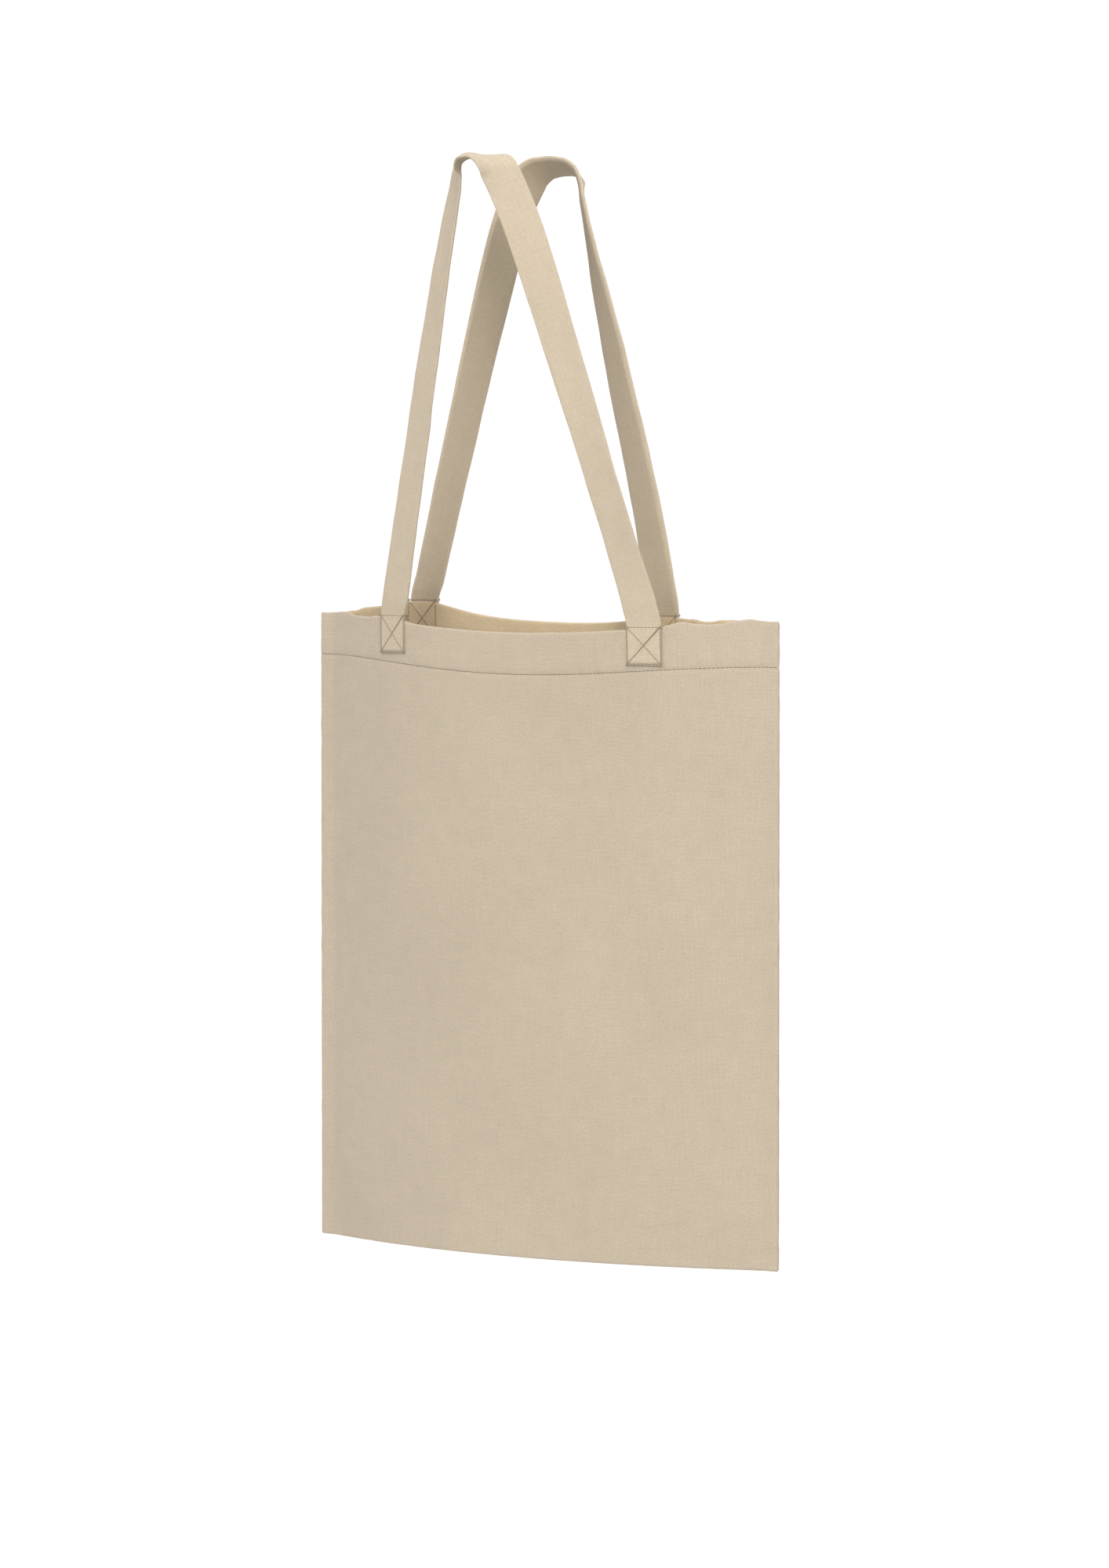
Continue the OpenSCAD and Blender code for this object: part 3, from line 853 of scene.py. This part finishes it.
    # painted shade on the strap's inner face: left off its outer edge, which shows as a paler border as if
    # that edge caught light, and deepening up each leg towards the top of the loop
    inner = np.clip(-section[:, 1] / (STRAP_T / 2) * 1.8, 0, 1) * smooth((s + 0.86) / 0.14)
    painted_shade_up_leg = np.clip(from_foot / LEG_RUN, 0, 1)
    mark_painted_shading(mesh, inner[None, :] * (0.22 + 0.50 * painted_shade_up_leg)[:, None])
    close_ends(mesh, len(points), len(section))
    fix_normals(mesh)
    strap = add_piece(name, mesh, strap_cloth)
    ends = (run < knots[len(left_foot)], run > knots[-1 - len(right_foot)])
    return strap, (centre, across, out, ends)


def close_ends(mesh, rows, cols):
    """Caps both ends of a tube of rows x cols points with strips of quads across its flat section."""
    bm = bmesh.new()
    bm.from_mesh(mesh)
    bm.verts.ensure_lookup_table()
    for row in (0, rows - 1):
        first = row * cols
        half = cols // 2
        for k in range(half - 1):
            a, b = first + k, first + k + 1
            c, d = first + cols - 2 - k, first + cols - 1 - k
            if len({a, b, c, d}) == 4:
                bm.faces.new([bm.verts[i] for i in (a, b, c, d)])
    bm.to_mesh(mesh)
    bm.free()
    mesh.shade_smooth()


def fix_normals(mesh):
    bm = bmesh.new()
    bm.from_mesh(mesh)
    bmesh.ops.recalc_face_normals(bm, faces=bm.faces)
    bm.to_mesh(mesh)
    bm.free()


front_strap, front_path = handle("front_handle_strap", True)
back_strap, back_path = handle("back_handle_strap", False)

# ---------------------------------------------------------------- stitches


def stitch_tree():
    """Lays single stitches along a path: each is a short arched thread whose ends sink into the cloth."""
    tree = bpy.data.node_groups.new("stitch row", "GeometryNodeTree")
    n = Nodes(tree)
    sockets = {}
    given_sockets = (
        ("Path", "NodeSocketGeometry", None),
        ("Pitch", "NodeSocketFloat", 3 * MM),
        ("Stitch Length", "NodeSocketFloat", 2.6 * MM),
        ("Thread Radius", "NodeSocketFloat", 0.25 * MM),
        ("Arch", "NodeSocketFloat", 0.3 * MM),
        ("Material", "NodeSocketMaterial", None),
    )
    for name, kind, value in given_sockets:
        socket = tree.interface.new_socket(name, in_out="INPUT", socket_type=kind)
        if value is not None:
            socket.default_value = value
        sockets[name] = socket.identifier
    tree.interface.new_socket("Stitches", in_out="OUTPUT", socket_type="NodeSocketGeometry")
    given = n.add("NodeGroupInput")
    result = n.add("NodeGroupOutput")
    curve = n.add("GeometryNodeMeshToCurve")
    n.link(given.outputs["Path"], curve.inputs["Mesh"])
    spaced = n.add("GeometryNodeResampleCurve", mode="LENGTH")
    n.link(curve.outputs[0], spaced.inputs["Curve"])
    n.link(given.outputs["Pitch"], spaced.inputs["Length"])
    # one stitch, along X, arched in Z
    half = n.math("MULTIPLY", given.outputs["Stitch Length"], 0.5)
    arc = n.add("GeometryNodeCurveQuadraticBezier")
    arc.inputs["Resolution"].default_value = 6
    sink = n.math("MULTIPLY", given.outputs["Arch"], -0.8)
    n.link(n.combine(n.math("MULTIPLY", half, -1.0), 0.0, sink), arc.inputs["Start"])
    n.link(n.combine(0.0, 0.0, n.math("MULTIPLY", given.outputs["Arch"], 1.2)), arc.inputs["Middle"])
    n.link(n.combine(half, 0.0, sink), arc.inputs["End"])
    ring = n.add("GeometryNodeCurvePrimitiveCircle", mode="RADIUS")
    ring.inputs["Resolution"].default_value = 6
    n.link(given.outputs["Thread Radius"], ring.inputs["Radius"])
    tube = n.add("GeometryNodeCurveToMesh")
    tube.inputs["Fill Caps"].default_value = True
    n.link(arc.outputs[0], tube.inputs["Curve"])
    n.link(ring.outputs[0], tube.inputs["Profile Curve"])
    # turned along the path, with its arch out of the cloth
    out = n.add("GeometryNodeInputNamedAttribute", data_type="FLOAT_VECTOR")
    out.inputs["Name"].default_value = "out"
    tangent = n.add("GeometryNodeInputTangent")
    along = n.add("FunctionNodeAlignRotationToVector", axis="X")
    n.link(tangent.outputs[0], along.inputs["Vector"])
    upright = n.add("FunctionNodeAlignRotationToVector", axis="Z", pivot_axis="X")
    n.link(along.outputs[0], upright.inputs["Rotation"])
    n.link(out.outputs[0], upright.inputs["Vector"])
    placed = n.add("GeometryNodeInstanceOnPoints")
    n.link(spaced.outputs[0], placed.inputs["Points"])
    n.link(tube.outputs[0], placed.inputs["Instance"])
    n.link(upright.outputs[0], placed.inputs["Rotation"])
    real = n.add("GeometryNodeRealizeInstances")
    n.link(placed.outputs[0], real.inputs[0])
    finish = n.add("GeometryNodeSetMaterial")
    n.link(real.outputs[0], finish.inputs["Geometry"])
    n.link(given.outputs["Material"], finish.inputs["Material"])
    n.link(finish.outputs[0], result.inputs[0])
    return tree, sockets


STITCH_TREE, STITCH_SOCKETS = stitch_tree()


def stitches(name, paths, material, pitch=3.0 * MM, length=2.7 * MM, radius=0.26 * MM, arch=0.3 * MM):
    """One piece of stitches along paths, each a list of (point, direction out of the cloth)."""
    verts, edges, outs = [], [], []
    for path in paths:
        for k, (point, out) in enumerate(path):
            if k:
                edges.append((len(verts) - 1, len(verts)))
            verts.append(tuple(point))
            outs.extend(tuple(out))
    mesh = bpy.data.meshes.new(name)
    mesh.from_pydata(verts, edges, [])
    attribute = mesh.attributes.new("out", "FLOAT_VECTOR", "POINT")
    attribute.data.foreach_set("vector", outs)
    piece = add_piece(name, mesh)
    row = piece.modifiers.new("stitch row", "NODES")
    row.node_group = STITCH_TREE
    values = {"Pitch": pitch, "Stitch Length": length, "Thread Radius": radius, "Arch": arch,
              "Material": material}
    for socket, value in values.items():
        row[STITCH_SOCKETS[socket]] = value
    made_plain(piece)
    if not piece.data.materials:
        piece.data.materials.append(material)
    piece.data.shade_smooth()
    return piece


ON_CLOTH = 0.02 * MM                         # a stitch's middle above the face it lies on
INNER_ROW_END = HALF_W - 14 * MM             # the row inside stops at the seam allowances


def hem_row(front):
    """The hem's line of stitches, outside and inside."""
    xs = np.linspace(-HALF_W + 2 * MM, HALF_W - 2 * MM, 190)
    z = hem_z(xs, front)
    side = -1 if front else 1
    y = face_y(xs, z, front)
    outer_lift = side * (CLOTH_T / 2 + ON_CLOTH)
    inner_lift = -side * (2 * HEM_FOLD_R + CLOTH_T / 2 + ON_CLOTH)
    outer = [((a, b + outer_lift, c), (0, side, 0)) for a, b, c in zip(xs, y, z)]
    inner = [((a, b + inner_lift, c), (0, -side, 0)) for a, b, c in zip(xs, y, z) if abs(a) < INNER_ROW_END]
    return [outer, inner]


front_hem_stitches = stitches("front_hem_stitches", hem_row(True), thread)
back_hem_stitches = stitches("back_hem_stitches", hem_row(False), thread)

BOX_INSET = 0.6 * MM
BOX_RISE = 0.8 * MM                          # the box's lower line above the strap's end
BOX_OVER = 0.2 * MM                          # and its upper line past the sewn length
BOX_STEP = 1.0 * MM
SECOND_PASS = 1.0 * MM                       # the rising diagonal is sewn twice, this far apart at its top
BOX_PLIES = 3.04 * CLOTH_T                   # cloth under the strap: the hem's plies


def box_paths(path, at_left, front):
    """Square with both diagonals, on the strap's face and again inside the panel."""
    centre, across, out, feet = path
    rows = feet[0] if at_left else feet[1]
    ends, w, o = centre[rows], across[rows], out[rows]
    order = np.argsort(ends[:, 2])
    low_z, high_z = ends[order[0], 2], ends[order[-1], 2]
    half = STRAP_W / 2 - BOX_INSET
    bottom, top = low_z + BOX_RISE, high_z + BOX_OVER
    corners = {"bl": (-half, bottom), "br": (half, bottom), "tr": (half, top), "tl": (-half, top)}
    mid_w, mid_o = w[0], o[0]
    if mid_w[0] < 0:
        mid_w = -mid_w
    base = ends.mean(axis=0)

    def lay(start, end, through, aside=0.0):
        a, b = np.array(corners[start]), np.array(corners[end]) + np.array([aside, 0])
        n = max(2, int(np.linalg.norm(b - a) / BOX_STEP))
        line = []
        for f in np.linspace(0, 1, n):
            s, z = mix(a, b, f)
            y0 = np.interp(z, ends[order, 2], ends[order, 1])
            point = np.array([base[0], y0, z]) + mid_w * s
            if not through:
                line.append((point + mid_o * (SEWN_T / 2 + 0.03 * MM), mid_o))
            else:
                line.append((point - mid_o * (SEWN_T / 2 + UNDER_STRAP + BOX_PLIES + 0.1 * MM), -mid_o))
        return line

    runs = [("tl", "bl"), ("bl", "br"), ("br", "tr"), ("tr", "tl"), ("tl", "br"), ("bl", "tr")]
    twice = lay("bl", "tr", False, -SECOND_PASS)
    return [lay(a, b, through) for through in (False, True) for a, b in runs] + [twice]


box_pieces = {}
for handle_name, path, is_front in (("front", front_path, True), ("back", back_path, False)):
    for side_name, at_left in (("left", True), ("right", False)):
        box_pieces[handle_name, side_name] = stitches(
            f"{handle_name}_{side_name}_box_stitches", box_paths(path, at_left, is_front), box_thread,
            pitch=2.4 * MM, length=2.4 * MM, radius=0.30 * MM, arch=0.28 * MM)

OVERLOCK_STEP = 2.6 * MM
OVERLOCK_SPAN = 4.5 * MM
OVERLOCK_R = 0.17 * MM


def overlock(name, points, edge_dir, span):
    """Threads wrapped over a raw edge: at each step a slanted stitch on each face and one over the edge."""
    paths = []
    points = np.array(points)
    run = np.concatenate([[0], np.cumsum(np.linalg.norm(np.diff(points, axis=0), axis=1))])
    step = OVERLOCK_STEP
    inward = -np.array(edge_dir, float)
    for k in range(int(run[-1] / step)):
        here = np.array([np.interp(k * step, run, points[:, i]) for i in range(3)])
        there = np.array([np.interp((k + 0.5) * step, run, points[:, i]) for i in range(3)])
        for face in (-1, 1):
            lift = np.array([0, face * (CLOTH_T + 0.12 * MM), 0])
            paths.append([(here + lift, (0, face, 0)), (there + inward * span + lift, (0, face, 0))])
        paths.append([(here + np.array([0, -CLOTH_T - 0.1 * MM, 0]) - inward * 0.15 * MM, tuple(-inward)),
                      (here + np.array([0, CLOTH_T + 0.1 * MM, 0]) - inward * 0.15 * MM, tuple(-inward))])
    return tubes(name, paths, OVERLOCK_R)


def tubes(name, paths, radius):
    """Plain threads along short paths, made as one mesh of five-sided tubes."""
    verts, quads = [], []
    sides = 5
    for path in paths:
        pts = np.array([p for p, _ in path], float)
        outs = np.array([o for _, o in path], float)
        direction = unit(pts[-1] - pts[0])
        first = len(verts)
        for p, o in zip(pts, outs):
            b = unit(np.cross(direction, o))
            for k in range(sides):
                a = 2 * math.pi * k / sides
                verts.append(p + radius * (math.cos(a) * o + math.sin(a) * b))
        for r in range(len(pts) - 1):
            for k in range(sides):
                a0, a1 = first + r * sides + k, first + r * sides + (k + 1) % sides
                quads.append((a0, a0 + sides, a1 + sides, a1))
    quads = np.array(quads)
    mesh = mesh_from(name, np.array(verts), quads, np.zeros((quads.size, 2)))
    bm = bmesh.new()
    bm.from_mesh(mesh)
    bmesh.ops.holes_fill(bm, edges=bm.edges, sides=sides)
    bmesh.ops.recalc_face_normals(bm, faces=bm.faces)
    bm.to_mesh(mesh)
    bm.free()
    mesh.shade_smooth()
    return add_piece(name, mesh, overlock_thread)


def side_edge(side):
    zs = np.linspace(BOTTOM_Z + 12 * MM, RIM_Z - HEM_W - 5 * MM, 60)
    x = HALF_W - SEAM_ALLOWANCE
    return [(side * x, 0.25 * MM * float(allowance_ripple(np.array(x * 3), np.array(z))), z) for z in zs]


def bottom_edge():
    xs = np.linspace(-HALF_W + 13 * MM, HALF_W - 13 * MM, 120)
    z = BOTTOM_Z + SEAM_ALLOWANCE
    return [(x, 0.1 * MM * float(allowance_ripple(np.array(x), np.array(z * 3)))
             - float(arc_depth(np.array(x), FRONT_BOW)), z) for x in xs]


left_overlock = overlock("left_overlock_stitches", side_edge(-1), (1, 0, 0), OVERLOCK_SPAN)
right_overlock = overlock("right_overlock_stitches", side_edge(1), (-1, 0, 0), OVERLOCK_SPAN)
bottom_overlock = overlock("bottom_overlock_stitches", bottom_edge(), (0, 0, 1), OVERLOCK_SPAN)

# seam threads stay as the frame's own solids, inside the seams
for node in ("left_seam_thread", "right_seam_thread", "bottom_seam_thread"):
    for material_slot in frame["nodes"][node].material_slots:
        material_slot.material = thread

# ---------------------------------------------------------------- bodies

bag_pieces = [front_cloth, back_cloth, left_allowance, right_allowance, bottom_edge_allowance,
              front_hem_stitches, back_hem_stitches, left_overlock, right_overlock, bottom_overlock,
              *box_pieces.values()]
for piece in bag_pieces:
    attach(piece, "bag")

for piece, node in ((front_cloth, "front_panel"), (back_cloth, "back_panel"),
                    (front_hem_stitches, "front_hem_thread"), (back_hem_stitches, "back_hem_thread"),
                    (left_overlock, "left_overlock_thread"), (right_overlock, "right_overlock_thread"),
                    (bottom_overlock, "bottom_overlock_thread")):
    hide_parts(node)
for (handle_name, side_name), piece in box_pieces.items():
    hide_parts(f"{handle_name}_{side_name}_box_thread")

for strap, which, fold in ((front_strap, "front", FRONT_FOLD_Z), (back_strap, "back", BACK_FOLD_Z)):
    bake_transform(strap)
    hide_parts(f"{which}_handle_loop", f"{which}_handle_left_end", f"{which}_handle_right_end")

# ---------------------------------------------------------------- floor, light and camera

FLOOR_Z = BOTTOM_Z - 0.50
FLOOR_R = 1.5


def floor():
    mesh = bpy.data.meshes.new("floor")
    count = 96
    angles = [2 * math.pi * k / count for k in range(count)]
    ring = [(FLOOR_R * math.cos(a), FLOOR_R * math.sin(a), FLOOR_Z) for a in angles]
    mesh.from_pydata(ring, [], [tuple(range(count))])
    material, n, shader = new_material("floor")
    shader.inputs["Base Color"].default_value = (0.93, 0.93, 0.93, 1.0)
    shader.inputs["Roughness"].default_value = 1.0
    shader.inputs["Specular IOR Level"].default_value = 0.0
    piece = add_piece("floor", mesh, material)


floor()

SKY_SEEN = 1.05                              # white behind the bag
SKY_LIGHT = 0.80
SKY_LOW = (0.62, 0.60, 0.57, 1.0)
SKY_HIGH = (1.0, 1.0, 1.0, 1.0)

world = bpy.data.worlds.new("sky")
bpy.context.scene.world = world
world.use_nodes = True
sky = Nodes(world.node_tree)
world.node_tree.nodes.clear()
sky_out = sky.add("ShaderNodeOutputWorld")
seen = sky.add("ShaderNodeBackground")
seen.inputs["Color"].default_value = (1, 1, 1, 1)
seen.inputs["Strength"].default_value = SKY_SEEN
lit = sky.add("ShaderNodeBackground")
height = sky.add("ShaderNodeSeparateXYZ")
sky.link(sky.add("ShaderNodeTexCoord").outputs["Generated"], height.inputs[0])
upwards = sky.ramp(height.outputs[2], -0.35, 0.75, 0.0, 1.0)
sky.link(sky.blend(upwards, SKY_LOW, SKY_HIGH), lit.inputs["Color"])
lit.inputs["Strength"].default_value = SKY_LIGHT
pick = sky.add("ShaderNodeMixShader")
sky.link(sky.add("ShaderNodeLightPath").outputs["Is Camera Ray"], pick.inputs[0])
sky.link(lit.outputs[0], pick.inputs[1])
sky.link(seen.outputs[0], pick.inputs[2])
sky.link(pick.outputs[0], sky_out.inputs[0])


def soft_light(name, place, aim, size, power, colour=(1, 1, 1)):
    light = bpy.data.lights.new(name, "AREA")
    light.shape = "DISK"
    light.size = size
    light.energy = power
    light.color = colour
    lamp = bpy.data.objects.new(name, light)
    bpy.context.scene.collection.objects.link(lamp)
    lamp.location = place
    lamp.rotation_euler = (Vector(aim) - Vector(place)).to_track_quat("-Z", "Y").to_euler()


MIDDLE = Vector((0, 0, (RIM_Z + BOTTOM_Z) / 2))
WARM_WHITE = (1.0, 0.985, 0.96)
soft_light("key", (1.45, -1.5, 0.95), MIDDLE + Vector((0, 0, 0.2)), 1.0, 26, WARM_WHITE)
soft_light("front fill", (-1.0, -2.4, 1.3), MIDDLE, 2.0, 16)
soft_light("top", (0.15, -0.75, 1.15), (0, 0, RIM_Z), 0.7, 3.2, (1.0, 0.975, 0.93))
soft_light("back fill", (0.9, 2.6, 1.0), MIDDLE, 2.0, 26, WARM_WHITE)

camera_data = bpy.data.cameras.new("camera")
camera_data.sensor_width = 36
camera_data.lens = 172.9
camera = bpy.data.objects.new("camera", camera_data)
bpy.context.scene.collection.objects.link(camera)
azimuth, elevation, distance = math.radians(37.62), math.radians(2.8), 4.970
level = Vector((math.cos(azimuth), math.sin(azimuth), 0))
flat_run = math.cos(elevation)
back = Vector((math.sin(azimuth) * flat_run, -math.cos(azimuth) * flat_run, math.sin(elevation)))
target = level * (6.07 * MM) + Vector((0, 0, RIM_Z - 109.8 * MM))
camera.location = target + back * distance
camera.rotation_euler = (-back).to_track_quat("-Z", "Y").to_euler()
camera_data.clip_end = 100
bpy.context.scene.camera = camera
bpy.context.scene.view_settings.view_transform = "Standard"
